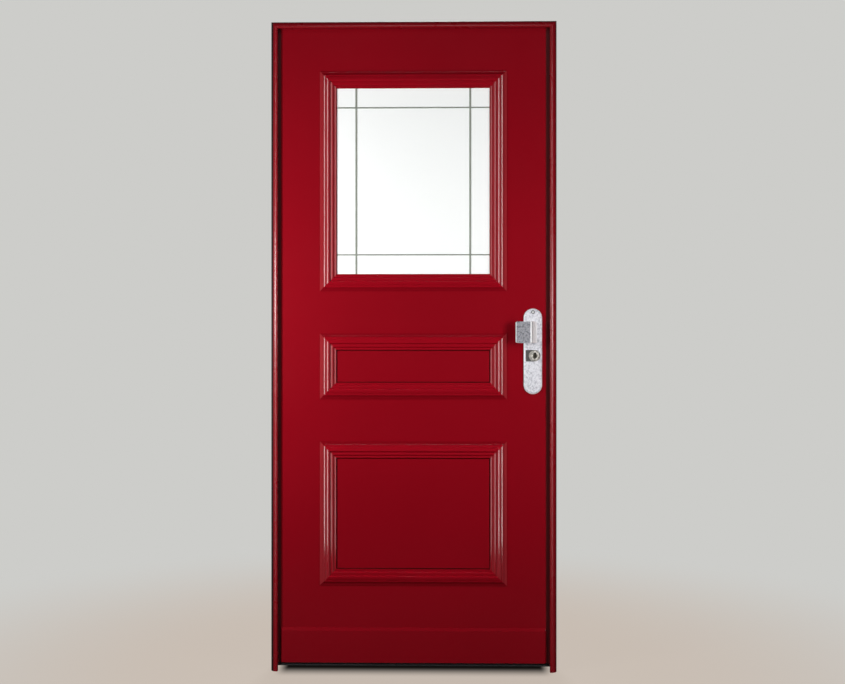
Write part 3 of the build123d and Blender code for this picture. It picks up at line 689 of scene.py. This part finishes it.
def bead_screws(material):
    """Screws along the beads round the window, on the inside."""
    low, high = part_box("window_bead_sides")
    places = []
    for height in spaced(low.z + BEAD_SIDE_END, high.z - BEAD_SIDE_END, BEAD_SIDE_SCREWS):
        places += [(low.x + BEAD_SCREW_EDGE, high.y, height), (high.x - BEAD_SCREW_EDGE, high.y, height)]
    for across in spaced(low.x + BEAD_RAIL_END, high.x - BEAD_RAIL_END, BEAD_RAIL_SCREWS):
        places += [(across, high.y, low.z + BEAD_SCREW_EDGE), (across, high.y, high.z - BEAD_SCREW_EDGE)]
    screws("bead_screws", places, INSIDE, BEAD_SCREW_SIZE, material)


def field_quirk_shade(panel, material):
    """Dark strip in the quirk between a moulding and the field inside it: painted shade."""
    low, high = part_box(f"{panel}_moulding_sides")
    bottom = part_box(f"{panel}_moulding_rails")[0].z
    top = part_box(f"{panel}_moulding_rails")[1].z
    work = bmesh.new()
    loops = []
    for inset, height in QUIRK_SHADE_SECTION:
        corners = (
            (low.x + inset, bottom + inset),
            (high.x - inset, bottom + inset),
            (high.x - inset, top - inset),
            (low.x + inset, top - inset),
        )
        loops.append([work.verts.new((x, high.y - height, z)) for x, z in corners])
    for first, second in zip(loops, loops[1:] + loops[:1]):
        bridge(work, first, second)
    new_piece(f"{panel}_quirk_shade_line", work, material, "leaf")


def small_pieces():
    """Screws, and dark strips of painted shade in the quirks."""
    steel = brushed_metal("screw_steel", SCREW_STEEL, roughness=0.25, metallic=0.7)
    plate_screws(steel)
    edge_screws(steel)
    hinge_screws(steel)
    bead_screws(red_paint("screw_red", SCREW_EDGE).material)
    # Dark strips in the quirks of the middle and lower fields: painted shade
    quirk_shade = red_paint("quirk_shade_red", None, QUIRK_SHADE_ROUGHNESS, QUIRK_SHADE_RED)
    quirk_shade.set("Specular IOR Level", QUIRK_SHADE_SHINE)
    for panel in ("middle", "lower"):
        field_quirk_shade(panel, quirk_shade.material)


def floor_material():
    """Pale ground, dark at the threshold, that fades into the background to the camera."""
    floor = Paint("floor", FLOOR, FLOOR_ROUGHNESS)
    floor.set("Specular IOR Level", FLOOR_SHINE)
    camera_ray = floor.ray("Is Camera Ray")
    distance = floor.add("ShaderNodeVectorMath")
    distance.operation = "LENGTH"
    floor.put(floor.place, distance.inputs[0])
    across = floor.compute("ABSOLUTE", floor.along("X"))
    sides = floor.spread(across, 0.0, 1.0, *SHADE_SIDES, "SMOOTHSTEP")
    front = floor.spread(floor.along("Y"), 0.0, 1.0, *SHADE_FRONT, "SMOOTHSTEP")
    back = floor.spread(floor.along("Y"), 0.0, 1.0, *SHADE_BACK, "SMOOTHSTEP")
    shade = floor.compute("MULTIPLY", floor.compute("MULTIPLY", sides, front), back)
    shade = floor.compute("MULTIPLY", shade, SHADE_DEPTH)
    lit = floor.mix(shade, tuple(FLOOR_SHARE * channel for channel in FLOOR), BLACK)
    lift = floor.mix(shade, tuple(FLOOR_LIFT * channel for channel in FLOOR), BLACK)
    floor.set("Base Color", lit)
    floor.set("Emission Color", lift)
    floor.set("Emission Strength", camera_ray)
    background = floor.add("ShaderNodeEmission")
    floor.put(WALL, background.inputs["Color"])
    far = floor.spread(distance.outputs["Value"], 0.0, 1.0, *FLOOR_FADE, "SMOOTHSTEP")
    blend = floor.add("ShaderNodeMixShader")
    floor.put(floor.compute("MULTIPLY", far, camera_ray), blend.inputs["Fac"])
    floor.put(floor.shader.outputs["BSDF"], blend.inputs[1])
    floor.put(background.outputs["Emission"], blend.inputs[2])
    floor.put(blend.outputs["Shader"], floor.tree.nodes["Material Output"].inputs["Surface"])
    return floor.material


def make_floor():
    """A wide round floor at the door's feet."""
    mesh = bpy.data.meshes.new("floor")
    work = bmesh.new()
    bmesh.ops.create_circle(work, cap_ends=True, radius=FLOOR_RADIUS, segments=FLOOR_SEGMENTS)
    work.to_mesh(mesh)
    work.free()
    mesh.materials.append(floor_material())
    floor = bpy.data.objects.new("floor", mesh)
    floor.location = (door_centre.x, 0, cad_low.z)
    bpy.context.collection.objects.link(floor)


def make_world():
    """Pale background to the camera and behind the door, a dark studio in front of it, weak fill."""
    world = bpy.data.worlds.new("studio")
    bpy.context.scene.world = world
    world.use_nodes = True
    world.node_tree.nodes.clear()
    studio = Nodes(world.node_tree, "Generated")
    behind = studio.spread(studio.along("Y"), 0.0, 1.0, *BACKWARDS)
    mirrored = studio.mix(behind, STUDIO_DARK, BEHIND_DOOR)
    shown = studio.compute("MAXIMUM", studio.ray("Is Glossy Ray"), studio.ray("Is Transmission Ray"))
    fill = studio.mix(shown, WORLD_FILL, mirrored)
    background = studio.add("ShaderNodeBackground")
    studio.put(studio.mix(studio.ray("Is Camera Ray"), fill, WALL), background.inputs["Color"])
    out = studio.add("ShaderNodeOutputWorld")
    studio.put(background.outputs["Background"], out.inputs["Surface"])


def soft_box(name, place, target, width, height, power):
    """A rectangular lamp that faces a point on the door, unseen by the camera itself."""
    data = bpy.data.lights.new(name, "AREA")
    data.shape = "RECTANGLE"
    data.size = width
    data.size_y = height
    data.energy = power
    lamp = bpy.data.objects.new(name, data)
    lamp.location = place
    lamp.rotation_euler = (Vector(target) - Vector(place)).to_track_quat("-Z", "Y").to_euler()
    lamp.visible_camera = False
    bpy.context.collection.objects.link(lamp)


def make_camera():
    """A level camera at the photograph's angle, turned a little so that the lock side is nearer."""
    data = bpy.data.cameras.new("camera")
    data.sensor_width = CAMERA_SENSOR
    data.lens = CAMERA_LENS
    data.clip_start, data.clip_end = CAMERA_CLIP
    camera = bpy.data.objects.new("camera", data)
    look = Vector((-math.sin(CAMERA_YAW), math.cos(CAMERA_YAW), 0))
    aim = Vector((CAMERA_AIM_X, cad_front, CAMERA_HEIGHT))
    camera.location = aim - look * CAMERA_DISTANCE
    camera.rotation_euler = look.to_track_quat("-Z", "Y").to_euler()
    bpy.context.collection.objects.link(camera)
    bpy.context.scene.camera = camera


make_camera()
make_floor()
make_world()
for lamp in LAMPS:
    soft_box(*lamp)
finish_nodes()
small_pieces()

bpy.context.scene.view_settings.view_transform = "Standard"
